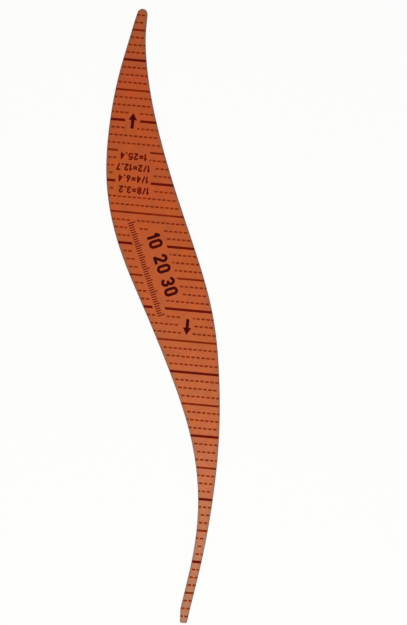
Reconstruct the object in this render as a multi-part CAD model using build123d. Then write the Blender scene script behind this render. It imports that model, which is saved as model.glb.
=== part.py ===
from build123d import *
import math
import os

# A tailor's sleeve curve: one flat S-shaped plastic blade that carries printed inch graduations.
# Millimetres. +Y points along the blade to its rounded nose, +X to the right with the print up,
# and +Z out of the printed face. The origin is on the underside, below the middle of the blade.

# Blade
blade_length = 250.0  # from the nose tip to the square tail end
blade_span = 57.0  # across the two bellies of the S
blade_thickness = 2.0
edge_round = 0.2  # polished round along the edges of both faces
nose_radius = 2.1
nose_flank = 15.0  # degrees that the left flank leans out where it leaves the nose
tail_width = 2.8
tail_run = 5.5  # short straight stretch before the tail end, on the left
tail_corner_radius = 0.6
tail_lean = 8.0  # degrees that both long edges lean inwards as they reach the tail

# The two long edges: how far across the span they lie, as a share of it from the middle, at
# shares of the length from the nose tip.
nose_across = -0.335
left_edge = {0.05: -0.411, 0.1: -0.454, 0.2: -0.498, 0.3: -0.475, 0.4: -0.343}
left_edge |= {0.5: -0.118, 0.6: 0.109, 0.7: 0.295, 0.8: 0.389, 0.9: 0.383}
left_tail_across = 0.333
right_edge = {0.05: -0.295, 0.1: -0.262, 0.2: -0.141, 0.3: 0.027, 0.4: 0.217}
right_edge |= {0.5: 0.378, 0.6: 0.462, 0.7: 0.499, 0.8: 0.493, 0.9: 0.453}
right_tail_across = 0.387

# Printed film
ink_thickness = 0.04
inch = 25.4
eighth = inch / 8
rows_per_line = 4  # a solid line every half inch, with three dashed rows between two of them
first_line_inset = 9.15  # from the nose tip to the first solid line
inch_line_width = 1.05
half_line_width = 0.8
dash_width = 0.7
dash_length = 1.45
dash_pitch = 2.05
dash_start = 0.2  # where a dash of the first row after a solid line is centred, across the blade
dash_step = dash_pitch / 4  # the next dashed row starts this much further left
dash_lean = 0.03  # and each row this much further left again, counted down the whole blade
smallest_mark = dash_length * dash_width / 2  # square millimetres: less than half a dash doesn't print

# Arrows
arrow_length = 6.6
arrow_head_length = 3.0
arrow_head_width = 3.5
arrow_shaft_width = 1.35
arrow_clear = 1.4
nose_arrow_line = 3  # the solid line, counted from 0, that the nose arrow sits on
nose_arrow_shift = -0.3  # to the right of the blade's middle
tail_arrow_inset = 130.3  # from the nose tip
tail_arrow_shift = 1.8  # to the right of the blade's middle

# Key: an inch and its fractions, each with its length in millimetres, read with the tail up
key_rows = ("1/8=3.2", "1/4=6.4", "1/2=12.7", "1=25.4")
key_inset = 62.1  # from the nose tip to the middle of the last row
key_pitch = 4.65
key_height = 3.0
key_pen = 0.66
key_margin = 11.2  # from the left edge to the middle of each row
key_clear = 1.08

# Oblique millimetre scale
scale_length = 40
scale_inset = 105.3  # from the nose tip to the middle of the labels
scale_labels = (10, 20, 30)
label_height = 5.8
label_pen = 1.2
label_clear = 1.1
tick_width = 0.46
tick_heights = {10: 3.1, 5: 2.6, 1: 2.1}
tick_drop = 8.4  # from the labels' middle line to the feet of the ticks
tick_clear = 0.8

# Figures
figure_width = 0.6  # a figure's width, as a share of its height
figure_gap = 0.12  # the gap between two figures, as a share of their height

nose_y = blade_length / 2


# Blade

def edge_points(edge):
    return [(across * blade_span, nose_y - along * blade_length) for along, across in edge.items()]


def blade_outline():
    """The blade's outline, centred across its span."""
    centre = Vector(nose_across * blade_span, nose_y - nose_radius)
    flank = math.radians(nose_flank)
    left_start = centre + Vector(-math.cos(flank), math.sin(flank)) * nose_radius
    right_start = centre + Vector(nose_radius, 0)
    left_end = Vector(left_tail_across * blade_span, tail_run - nose_y)
    right_end = Vector(right_tail_across * blade_span, -nose_y)
    nose = ThreePointArc(left_start, centre + Vector(0, nose_radius), right_start)
    lean = math.radians(tail_lean)
    out_of_tail = Vector(math.sin(lean), math.cos(lean))
    left = Spline(
        [left_start, *edge_points(left_edge), left_end],
        tangents=[(-math.sin(flank), -math.cos(flank)), -out_of_tail],
    )
    right = Spline(
        [right_end, *reversed(edge_points(right_edge)), right_start],
        tangents=[out_of_tail, (0, 1)],
    )
    tail = Polyline(left_end, right_end - Vector(tail_width, 0), right_end)
    outline = make_face([nose, left, right, *tail.edges()])
    outline = fillet(outline.vertices().group_by(Axis.Y)[0], tail_corner_radius)
    box = outline.bounding_box()
    return Pos(-(box.min.X + box.max.X) / 2, 0) * outline


outline = blade_outline()
sheet = extrude(outline, blade_thickness)
edges_by_height = sheet.edges().group_by(Axis.Z)
blade = fillet(edges_by_height[0] + edges_by_height[-1], edge_round)
print_area = Pos(0, 0, -blade_thickness) * blade.faces().sort_by(Axis.Z)[-1]


def edges_at(y):
    """Where the two long edges lie across the blade, at a place along it."""
    strip = outline & Pos(0, y) * Rectangle(2 * blade_span, edge_round)
    box = strip.bounding_box()
    return box.min.X, box.max.X


def middle_at(y):
    return sum(edges_at(y)) / 2


# Figures, drawn with a round pen whose middle keeps to a box of the given size

def bar(start, end, pen):
    """A straight stroke."""
    run = Vector(*end) - Vector(*start)
    middle = (Vector(*start) + Vector(*end)) * 0.5
    angle = math.degrees(math.atan2(run.Y, run.X))
    return Pos(middle.X, middle.Y) * SlotCenterToCenter(run.length, pen, rotation=angle)


def bow(centre, radius, start, sweep, pen):
    """A stroke round part of a circle, from a start angle through a sweep."""
    return SlotArc(CenterArc(centre, radius, start, sweep), pen)


def ring(centre, radius, pen):
    """A stroke round a whole circle."""
    return Pos(*centre) * (Circle(radius + pen / 2) - Circle(radius - pen / 2))


def zero(wide, tall, pen):
    shape = SlotOverall(tall + pen, wide + pen, 90) - SlotOverall(tall - pen, wide - pen, 90)
    return [Pos(wide / 2, tall / 2) * shape]


def one(wide, tall, pen):
    stem = wide * 0.35
    return [bar((stem, 0), (stem, tall), pen), bar((0, tall * 0.76), (stem, tall), pen)]


def two(wide, tall, pen):
    half = wide / 2
    crown = tall - half
    turn = math.radians(-35)
    neck = (half + half * math.cos(turn), crown + half * math.sin(turn))
    base = bar((0, 0), (wide, 0), pen)
    return [bow((half, crown), half, 170, -205, pen), bar(neck, (0, 0), pen), base]


def three(wide, tall, pen):
    lobe = tall / 4
    middle = wide - lobe
    upper = bow((middle, tall - lobe), lobe, 150, -240, pen)
    return [upper, bow((middle, lobe), lobe, 90, -240, pen)]


def four(wide, tall, pen):
    stem = wide * 0.78
    shelf = tall * 0.3
    upright = bar((stem, 0), (stem, tall), pen)
    return [upright, bar((stem, tall), (0, shelf), pen), bar((0, shelf), (wide, shelf), pen)]


def five(wide, tall, pen):
    left = wide * 0.1
    bowl = tall * 0.32
    flag = bar((left, tall), (wide, tall), pen)
    stem = bar((left, tall), (left / 2, tall * 0.55), pen)
    return [flag, stem, bow((wide / 2, bowl), bowl, 145, -290, pen)]


def six(wide, tall, pen):
    half = wide / 2
    return [ring((half, half), half, pen), bar((wide * 0.07, half * 1.3), (wide * 0.72, tall), pen)]


def seven(wide, tall, pen):
    return [bar((0, tall), (wide, tall), pen), bar((wide, tall), (wide * 0.3, 0), pen)]


def eight(wide, tall, pen):
    lobe = tall / 4
    return [ring((wide / 2, lobe), lobe, pen), ring((wide / 2, tall - lobe), lobe, pen)]


def slash(wide, tall, pen):
    return [bar((0, 0), (wide * 0.6, tall), pen)]


def equals(wide, tall, pen):
    return [bar((0, level * tall), (wide, level * tall), pen) for level in (0.33, 0.67)]


def point(wide, tall, pen):
    return [Circle(pen * 0.6)]


signs = {"0": zero, "1": one, "2": two, "3": three, "4": four, "5": five, "6": six, "7": seven}
signs |= {"8": eight, "/": slash, "=": equals, ".": point}


def figures(text, height, pen):
    """A row of signs centred on the origin, and its width."""
    row = []
    cursor = 0
    for sign in text:
        drawn = Sketch() + signs[sign](figure_width * height - pen, height - pen, pen)
        box = drawn.bounding_box()
        row.append(Pos(cursor - box.min.X, pen / 2) * drawn)
        cursor += box.size.X + figure_gap * height
    width = cursor - figure_gap * height
    return [Pos(-width / 2, -height / 2) * drawn for drawn in row], width


# Marks, each with a clear zone that interrupts the graduations

def arrow():
    """An arrow that points along +Y, centred on the origin."""
    neck = arrow_length / 2 - arrow_head_length
    shaft = arrow_shaft_width / 2
    right = [(shaft, -arrow_length / 2), (shaft, neck), (arrow_head_width / 2, neck)]
    left = [(-x, y) for x, y in reversed(right)]
    return make_face(Polyline(*right, (0, arrow_length / 2), *left, close=True))


def row_y(row):
    """The place of an eighth-inch row, counted from the first solid line."""
    return nose_y - first_line_inset - row * eighth


def printed_arrows():
    """The nose arrow on its line, the tail arrow turned round, and their clear zones."""
    nose_arrow_y = row_y(nose_arrow_line * rows_per_line)
    tail_arrow_y = nose_y - tail_arrow_inset
    to_nose = Pos(middle_at(nose_arrow_y) + nose_arrow_shift, nose_arrow_y)
    to_tail = Pos(middle_at(tail_arrow_y) + tail_arrow_shift, tail_arrow_y) * Rot(0, 0, 180)
    zone = offset(arrow(), arrow_clear)
    return [to_nose * arrow()], [to_tail * arrow()], [to_nose * zone, to_tail * zone]


def printed_key():
    """The rows of the key, the first of them nearest the tail, and their clear zones."""
    rows, zones = [], []
    for index, text in enumerate(reversed(key_rows)):
        row, width = figures(text, key_height, key_pen)
        y = nose_y - key_inset - index * key_pitch
        place = Pos(edges_at(y)[0] + key_margin, y)
        rows.insert(0, [place * Rot(0, 0, 180) * sign for sign in row])
        zones.append(place * Rectangle(width + 2 * key_clear, key_height + 2 * key_clear))
    return rows, zones


def printed_scale():
    """The ticks and labels of the oblique scale along the blade's middle, and their clear zones."""
    y = nose_y - scale_inset
    reach = scale_length / 2
    slope = (middle_at(y - reach) - middle_at(y + reach)) / scale_length
    place = Pos(middle_at(y), y) * Rot(0, 0, math.degrees(math.atan2(-1, slope)))
    ticks, labels, zones = [], [], []
    for step in range(scale_length + 1):
        tall = next(tick_heights[unit] for unit in tick_heights if step % unit == 0)
        ticks.append(place * Pos(step - reach, tall / 2 - tick_drop) * Rectangle(tick_width, tall))
    for value in scale_labels:
        row, width = figures(str(value), label_height, label_pen)
        labels += [place * Pos(value - reach, 0) * sign for sign in row]
    labels_reach = scale_labels[-1] - scale_labels[0] + width
    labels_middle = (scale_labels[0] + scale_labels[-1]) / 2 - reach
    labels_top = label_height / 2 + label_clear
    zone = Rectangle(labels_reach + 2 * label_clear, labels_top + tick_drop)
    zones.append(place * Pos(labels_middle, (labels_top - tick_drop) / 2) * zone)
    tallest = max(tick_heights.values())
    zone = Rectangle(scale_length + tick_width + 2 * tick_clear, tallest + 2 * tick_clear)
    zones.append(place * Pos(0, tallest / 2 - tick_drop) * zone)
    return ticks, labels, zones


nose_arrow, tail_arrow, arrow_zones = printed_arrows()
key, key_zones = printed_key()
scale_ticks, scale_figures, scale_zones = printed_scale()
clear_zones = arrow_zones + key_zones + scale_zones


# Graduations

def boxes_meet(one, other):
    a, b = one.bounding_box(), other.bounding_box()
    return a.min.X < b.max.X and b.min.X < a.max.X and a.min.Y < b.max.Y and b.min.Y < a.max.Y


def clipped(shapes):
    """What prints of some shapes: the parts on the flat of the face and out of the clear zones."""
    kept = []
    for shape in shapes:
        pieces = shape & print_area
        zones = [zone for zone in clear_zones if boxes_meet(zone, shape)]
        if pieces and zones:
            pieces = pieces - zones
        if pieces:
            kept += [face for face in pieces.faces() if face.area > smallest_mark]
    return kept


def solid_line(row, width):
    return clipped([Pos(0, row_y(row)) * Rectangle(2 * blade_span, width)])


def dashed_row(row):
    y = row_y(row)
    left, right = edges_at(y)
    start = dash_start - dash_step * (row % rows_per_line - 1) - dash_lean * row
    first = math.floor((left - start) / dash_pitch)
    last = math.ceil((right - start) / dash_pitch)
    dash = Rectangle(dash_length, dash_width)
    return clipped([Pos(start + index * dash_pitch, y) * dash for index in range(first, last + 1)])


# Nodes

def film(shapes):
    """Printed film over some flat shapes, on the blade's upper face."""
    faces = [Pos(0, 0, blade_thickness) * face for shape in shapes for face in shape.faces()]
    return Compound([Solid.extrude(face, (0, 0, ink_thickness)) for face in faces])


nodes = {
    "blade": blade,
    "nose_arrow": film(nose_arrow),
    "tail_arrow": film(tail_arrow),
    "scale_ticks": film(scale_ticks),
    "scale_figures": film(scale_figures),
}
for number, row in enumerate(key, 1):
    nodes[f"key_row_{number}"] = film(row)

first_row = math.ceil((nose_radius / 2 - first_line_inset) / eighth)
last_row = math.floor((blade_length - first_line_inset - tail_corner_radius) / eighth)
bays = {}
for row in range(first_row, last_row + 1):
    line, row_in_bay = divmod(row, rows_per_line)
    if row_in_bay:
        bays.setdefault(line - first_row // rows_per_line + 1, []).extend(dashed_row(row))
    elif line % 2:
        nodes[f"inch_line_{line // 2 + 1}"] = film(solid_line(row, inch_line_width))
    else:
        nodes[f"half_inch_line_{line // 2 + 1}"] = film(solid_line(row, half_line_width))
for number, dashes in bays.items():
    nodes[f"eighth_rows_{number}"] = film(dashes)

os.makedirs("parts", exist_ok=True)
for name, shape in nodes.items():
    export_step(shape, f"parts/{name}.step")
print(len(nodes), "nodes")
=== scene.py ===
"""Looks of the sleeve curve: its plastic blade and screen-printed marks, a white board under it, soft
studio light and a camera."""

import bpy
import math
from mathutils import Matrix, Vector


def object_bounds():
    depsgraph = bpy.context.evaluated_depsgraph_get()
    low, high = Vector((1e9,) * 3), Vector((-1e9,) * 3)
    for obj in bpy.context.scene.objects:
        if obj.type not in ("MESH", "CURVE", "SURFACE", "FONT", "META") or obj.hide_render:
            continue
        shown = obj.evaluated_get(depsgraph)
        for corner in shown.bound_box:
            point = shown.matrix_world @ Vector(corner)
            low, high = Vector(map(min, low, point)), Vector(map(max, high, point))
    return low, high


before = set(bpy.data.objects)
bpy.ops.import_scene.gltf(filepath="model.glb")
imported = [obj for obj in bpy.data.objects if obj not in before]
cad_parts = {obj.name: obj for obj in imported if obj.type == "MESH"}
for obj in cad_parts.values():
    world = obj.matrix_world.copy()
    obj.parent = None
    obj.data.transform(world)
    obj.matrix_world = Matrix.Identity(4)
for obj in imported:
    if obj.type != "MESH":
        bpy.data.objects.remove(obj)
cad_low, cad_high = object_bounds()
MM = 0.001

# Camera: high over the blade, which lies left of the view's middle
CAMERA_AIM = Vector((17.4 * MM, 1.25 * MM, cad_high.z))
CAMERA_DISTANCE = 578.6 * MM
CAMERA_TILT = math.radians(3.5)  # the camera stands this far towards the tail
CAMERA_ROLL = math.radians(5.2)
CAMERA_LENS = 81.2

# Light: an even room, and a softbox whose sheen lies over the tail half of the blade
ROOM_LEVEL = 0.36
SOFTBOX_SIZE = Vector((350, 600)) * MM
SOFTBOX_PLACE = Vector((20, -320, 700)) * MM
SOFTBOX_RADIANCE = 6.5
SOFTBOX_COLOUR = "#FFF7E6"

# White board
BOARD_PAINT = "#F4F4F4"
BOARD_WIDTH = 6000 * MM
BOARD_DROP = 0.05 * MM  # keeps the board just under the blade's flat underside
BOARD_WHITENESS = 0.9  # how much of the board is plain white to a viewer; the rest holds the shadow

# Acrylic sheet
NOSE_COLOUR, TAIL_COLOUR = "#B15C33", "#9B6E4B"
BETWEEN_COLOURS = {0.12: "#C74C1F", 0.45: "#C7530C", 0.75: "#C96002"}  # by share of the way to the tail
CLOUD_COLOUR = "#C05602"
CLOUD_SIZE = 22 * MM
CLOUD_STRENGTH = 0.7
MOTTLE_COLOUR = "#A54D23"
MOTTLE_SIZE = 3 * MM
MOTTLE_STRENGTH = 0.8
# Painted shade: a darker, greyer band along the blade's edges and over its cut edge
RIM_SHADE_COLOUR = "#6A5B49"
RIM_WIDTH = 1.9 * MM  # less than the sheet is thick, or the far face would count as rim
RIM_SHADE_STRENGTH = 0.64
RIM_FADE = 0.15  # far under 1, so that the rim's colour holds over most of its width
SHEET_IOR = 1.49
SHEET_SPECULAR = 0.26  # half of a clean sheet's 0.5, as the rubbed face has lost much of its gloss
SHEET_ROUGHNESS = (0.29, 0.37)  # where it is rubbed least and most
RIPPLE_SIZE = 7 * MM
RIPPLE_HEIGHT = 0.02 * MM
SCRATCH_LENGTH = 45 * MM
SCRATCH_WIDTH = 0.35 * MM  # a real one is a tenth as wide, which is too fine to show
SCRATCH_DEPTH = 0.004 * MM
SCRATCH_HEADINGS = (12, 76, 151)
SCRATCH_ROUGHNESS = 0.12  # added to the sheet's own
SMUDGE_SIZE = 16 * MM

# Screen ink
INK_IOR = 1.5
INK_SPECULAR = 0.05  # a matt film scatters nearly all of its gloss
INK_ROUGHNESS = (0.6, 0.75)
INK_PATCH_SIZE = 4 * MM
MESH_PITCH = 0.3 * MM  # twice that of a real screen, whose threads are too fine to show
MESH_RELIEF = 0.006 * MM


def linear(colour):
    """An sRGB hex colour as the linear RGBA that Blender's sockets hold."""
    channels = [int(colour[place:place + 2], 16) / 255 for place in (1, 3, 5)]
    return [c / 12.92 if c <= 0.04045 else ((c + 0.055) / 1.055) ** 2.4 for c in channels] + [1.0]


def add(tree, kind, inputs=None, **settings):
    """Adds a node; each input is a value, or another node's output to link."""
    made = tree.nodes.new(kind)
    for name, value in settings.items():
        setattr(made, name, value)
    for name, value in (inputs or {}).items():
        if isinstance(value, bpy.types.NodeSocket):
            tree.links.new(value, made.inputs[name])
        else:
            made.inputs[name].default_value = value
    return made


def new_material(name):
    """An empty node material and its tree."""
    material = bpy.data.materials.new(name)
    material.use_nodes = True
    material.node_tree.nodes.clear()
    return material, material.node_tree


# Materials. A noise's value lies mostly between 0.3 and 0.7, so the map ranges start and end near these.

# Cast acrylic

def sheet_tint(tree, place):
    """The sheet's orange-brown, a little yellower towards the tail and duller at both ends: broad clouds of
    pigment over a fine, browner mottle."""
    along = add(tree, "ShaderNodeSeparateXYZ", {"Vector": place}).outputs["Y"]
    drift = add(tree, "ShaderNodeMapRange", {
        "Value": along, "From Min": cad_high.y, "From Max": cad_low.y})
    drifted = add(tree, "ShaderNodeValToRGB", {"Fac": drift.outputs["Result"]})
    stops = drifted.color_ramp.elements
    stops[0].color, stops[1].color = linear(NOSE_COLOUR), linear(TAIL_COLOUR)
    for share, colour in BETWEEN_COLOURS.items():
        stops.new(share).color = linear(colour)
    cloud = add(tree, "ShaderNodeTexNoise", {"Vector": place, "Scale": 1 / CLOUD_SIZE, "Detail": 3.0})
    mottle = add(tree, "ShaderNodeTexNoise", {
        "Vector": place, "Scale": 1 / MOTTLE_SIZE, "Detail": 4.0, "Roughness": 0.7})
    broad = add(tree, "ShaderNodeMapRange", {
        "Value": cloud.outputs["Fac"], "From Min": 0.35, "From Max": 0.65,
        "To Max": CLOUD_STRENGTH})
    fine = add(tree, "ShaderNodeMapRange", {
        "Value": mottle.outputs["Fac"], "From Min": 0.3, "From Max": 0.7,
        "To Max": MOTTLE_STRENGTH})
    clouded = add(tree, "ShaderNodeMix", {
        "Factor": broad.outputs["Result"], "A": drifted.outputs["Color"], "B": linear(CLOUD_COLOUR)},
        data_type="RGBA")
    return add(tree, "ShaderNodeMix", {
        "Factor": fine.outputs["Result"], "A": clouded.outputs["Result"], "B": linear(MOTTLE_COLOUR)},
        data_type="RGBA").outputs["Result"]


def painted_rim_shade(tree):
    """How much painted shade darkens the colour: most on the cut edge, fading to 0 over a narrow band of
    each face.
    """
    rounded = add(tree, "ShaderNodeBevel", {"Radius": RIM_WIDTH}, samples=8).outputs["Normal"]
    level = add(tree, "ShaderNodeSeparateXYZ", {"Vector": rounded}).outputs["Z"]
    level = add(tree, "ShaderNodeMath", {0: level}, operation="ABSOLUTE").outputs[0]
    turned = add(tree, "ShaderNodeMapRange", {
        "Value": level, "From Min": 1.0, "From Max": 0.8}).outputs["Result"]
    spread = add(tree, "ShaderNodeMath", {0: turned, 1: RIM_FADE}, operation="POWER").outputs[0]
    return add(tree, "ShaderNodeMath", {0: spread, 1: RIM_SHADE_STRENGTH}, operation="MULTIPLY").outputs[0]


def scratches(tree, place):
    """1 on a hairline scratch and 0 beside it, along a few headings: the peaks of a stretched noise."""
    marks = None
    for heading in SCRATCH_HEADINGS:
        stretched = add(tree, "ShaderNodeMapping", {
            "Vector": place,
            "Rotation": (0, 0, math.radians(heading)),
            "Scale": (SCRATCH_LENGTH, SCRATCH_WIDTH, SCRATCH_LENGTH)}, vector_type="TEXTURE")
        streaks = add(tree, "ShaderNodeTexNoise", {
            "Vector": stretched.outputs["Vector"], "Scale": 1.0, "Detail": 0.0})
        ridge = add(tree, "ShaderNodeMapRange", {
            "Value": streaks.outputs["Fac"], "From Min": 0.7, "From Max": 0.78}).outputs["Result"]
        marks = ridge if marks is None else add(tree, "ShaderNodeMath", {
            0: marks, 1: ridge}, operation="MAXIMUM").outputs[0]
    return marks


def cast_acrylic():
    """Cast acrylic sheet, tinted orange-brown right through, sawn to shape and polished along its edges.

    Casting leaves the faces glossy and very slightly rippled. Cloth and hands have rubbed them to a soft
    sheen, with hairline scratches and smudges. Painted shade darkens the colour along the rim.
    """
    material, tree = new_material("cast_acrylic")
    place = add(tree, "ShaderNodeTexCoord").outputs["Object"]
    marks = scratches(tree, place)
    # Painted shade along the rim and on the cut edge, mixed into the sheet's colour
    colour = add(tree, "ShaderNodeMix", {
        "Factor": painted_rim_shade(tree), "A": sheet_tint(tree, place), "B": linear(RIM_SHADE_COLOUR)},
        data_type="RGBA")
    smudge = add(tree, "ShaderNodeTexNoise", {"Vector": place, "Scale": 1 / SMUDGE_SIZE, "Detail": 4.0})
    rubbed = add(tree, "ShaderNodeMapRange", {
        "Value": smudge.outputs["Fac"], "From Min": 0.35, "From Max": 0.65,
        "To Min": SHEET_ROUGHNESS[0], "To Max": SHEET_ROUGHNESS[1]}).outputs["Result"]
    roughness = add(tree, "ShaderNodeMath", {
        0: marks, 1: SCRATCH_ROUGHNESS, 2: rubbed}, operation="MULTIPLY_ADD").outputs[0]
    ripple = add(tree, "ShaderNodeTexNoise", {"Vector": place, "Scale": 1 / RIPPLE_SIZE, "Detail": 0.0})
    rippled = add(tree, "ShaderNodeBump", {
        "Height": ripple.outputs["Fac"], "Distance": RIPPLE_HEIGHT, "Strength": 1.0})
    scratched = add(tree, "ShaderNodeBump", {
        "Height": marks, "Distance": SCRATCH_DEPTH, "Strength": 1.0,
        "Normal": rippled.outputs["Normal"]}, invert=True)
    shader = add(tree, "ShaderNodeBsdfPrincipled", {
        "Base Color": colour.outputs["Result"],
        "Roughness": roughness,
        "IOR": SHEET_IOR,
        "Specular IOR Level": SHEET_SPECULAR,
        "Normal": scratched.outputs["Normal"]})
    add(tree, "ShaderNodeOutputMaterial", {"Surface": shader.outputs["BSDF"]})
    return material


# Screen ink

def screen_ink(name, dense, sparse):
    """Black-brown screen ink, pulled through a mesh on to the sheet and air dried to a matt film.

    The film lies in patches, dense where the blade pressed well and sparse where the orange under it
    shows, and it keeps a faint print of the mesh.
    """
    material, tree = new_material(name)
    place = add(tree, "ShaderNodeTexCoord").outputs["Object"]
    patch = add(tree, "ShaderNodeTexNoise", {"Vector": place, "Scale": 1 / INK_PATCH_SIZE, "Detail": 3.0})
    cover = add(tree, "ShaderNodeMapRange", {
        "Value": patch.outputs["Fac"], "From Min": 0.35, "From Max": 0.7})
    colour = add(tree, "ShaderNodeMix", {
        "Factor": cover.outputs["Result"], "A": linear(dense), "B": linear(sparse)}, data_type="RGBA")
    # At scale 1 a wave's bands lie pi / 10 apart
    threads = [
        add(tree, "ShaderNodeTexWave", {
            "Vector": place, "Scale": math.pi / (10 * MESH_PITCH)}, bands_direction=direction)
        for direction in "XY"]
    mesh = add(tree, "ShaderNodeMath", {
        0: threads[0].outputs["Fac"], 1: threads[1].outputs["Fac"]}, operation="MULTIPLY")
    relief = add(tree, "ShaderNodeBump", {
        "Height": mesh.outputs[0], "Distance": MESH_RELIEF, "Strength": 1.0})
    roughness = add(tree, "ShaderNodeMapRange", {
        "Value": patch.outputs["Fac"], "From Min": 0.3, "From Max": 0.7,
        "To Min": INK_ROUGHNESS[0], "To Max": INK_ROUGHNESS[1]})
    shader = add(tree, "ShaderNodeBsdfPrincipled", {
        "Base Color": colour.outputs["Result"],
        "Roughness": roughness.outputs["Result"],
        "IOR": INK_IOR,
        "Specular IOR Level": INK_SPECULAR,
        "Normal": relief.outputs["Normal"]})
    add(tree, "ShaderNodeOutputMaterial", {"Surface": shader.outputs["BSDF"]})
    return material


# Stage

def white_for_viewers(tree):
    """1 for rays that should meet a plain white surround: from the camera, or by way of gloss or glass."""
    rays = add(tree, "ShaderNodeLightPath").outputs
    seen = add(tree, "ShaderNodeMath", {
        0: rays["Is Camera Ray"], 1: rays["Is Glossy Ray"]}, operation="MAXIMUM")
    seen = add(tree, "ShaderNodeMath", {
        0: seen.outputs[0], 1: rays["Is Transmission Ray"]}, operation="MAXIMUM")
    return seen.outputs[0]


def painted_board():
    """Board painted matt white, which keeps the blade's faint shadow."""
    material, tree = new_material("painted_board")
    paint = add(tree, "ShaderNodeBsdfDiffuse", {"Color": linear(BOARD_PAINT)})
    white = add(tree, "ShaderNodeEmission", {"Color": linear("#FFFFFF"), "Strength": 1.0})
    share = add(tree, "ShaderNodeMath", {
        0: white_for_viewers(tree), 1: BOARD_WHITENESS}, operation="MULTIPLY")
    surface = add(tree, "ShaderNodeMixShader", {
        "Fac": share.outputs[0], 1: paint.outputs[0], 2: white.outputs[0]})
    add(tree, "ShaderNodeOutputMaterial", {"Surface": surface.outputs[0]})
    return material


def lay_board():
    half = BOARD_WIDTH / 2
    level = cad_low.z - BOARD_DROP
    mesh = bpy.data.meshes.new("board")
    corners = [(-half, -half, level), (half, -half, level), (half, half, level), (-half, half, level)]
    mesh.from_pydata(corners, [], [(0, 1, 2, 3)])
    mesh.materials.append(painted_board())
    board = bpy.data.objects.new("board", mesh)
    bpy.context.scene.collection.objects.link(board)


def light_room():
    """An even room light, which a viewer sees as plain white."""
    world = bpy.data.worlds.new("room")
    world.use_nodes = True
    tree = world.node_tree
    tree.nodes.clear()
    level = add(tree, "ShaderNodeMix", {"Factor": white_for_viewers(tree), "A": ROOM_LEVEL, "B": 1.0})
    background = add(tree, "ShaderNodeBackground", {
        "Color": linear("#FFFFFF"), "Strength": level.outputs["Result"]})
    add(tree, "ShaderNodeOutputWorld", {"Surface": background.outputs[0]})
    bpy.context.scene.world = world


def hang_softbox():
    light = bpy.data.lights.new("softbox", "AREA")
    light.shape = "RECTANGLE"
    light.size, light.size_y = SOFTBOX_SIZE
    light.color = linear(SOFTBOX_COLOUR)[:3]
    light.energy = SOFTBOX_RADIANCE * math.pi * light.size * light.size_y
    softbox = bpy.data.objects.new("softbox", light)
    softbox.location = SOFTBOX_PLACE
    middle = (cad_low + cad_high) / 2
    softbox.rotation_euler = (SOFTBOX_PLACE - middle).to_track_quat("Z", "Y").to_euler()
    softbox.visible_camera = False
    bpy.context.scene.collection.objects.link(softbox)


def place_camera():
    data = bpy.data.cameras.new("camera")
    data.lens = CAMERA_LENS
    camera = bpy.data.objects.new("camera", data)
    turn = Matrix.Rotation(CAMERA_TILT, 4, "X") @ Matrix.Rotation(CAMERA_ROLL, 4, "Z")
    back = turn @ Vector((0, 0, CAMERA_DISTANCE))
    camera.matrix_world = Matrix.Translation(CAMERA_AIM + back) @ turn
    bpy.context.scene.collection.objects.link(camera)
    bpy.context.scene.camera = camera


# The wider a mark, the thicker the ink lies on it; on the narrowest, more of the orange shows through
finishes = {
    ("blade",): cast_acrylic(),
    ("nose_arrow", "tail_arrow", "scale_figures"): screen_ink("screen_ink_thick", "#380000", "#4A0400"),
    ("inch_line", "key_row", "scale_ticks"): screen_ink("screen_ink_medium", "#5C0600", "#720E00"),
    ("half_inch_line",): screen_ink("screen_ink_thin", "#741800", "#8C2600"),
    ("eighth_rows",): screen_ink("screen_ink_faint", "#7C2000", "#963200"),
}
for name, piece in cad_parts.items():
    finish = next(made for starts, made in finishes.items() if name.startswith(starts))
    for slot in piece.material_slots:
        slot.material = finish

lay_board()
light_room()
hang_softbox()
place_camera()
bpy.context.scene.view_settings.view_transform = "Standard"
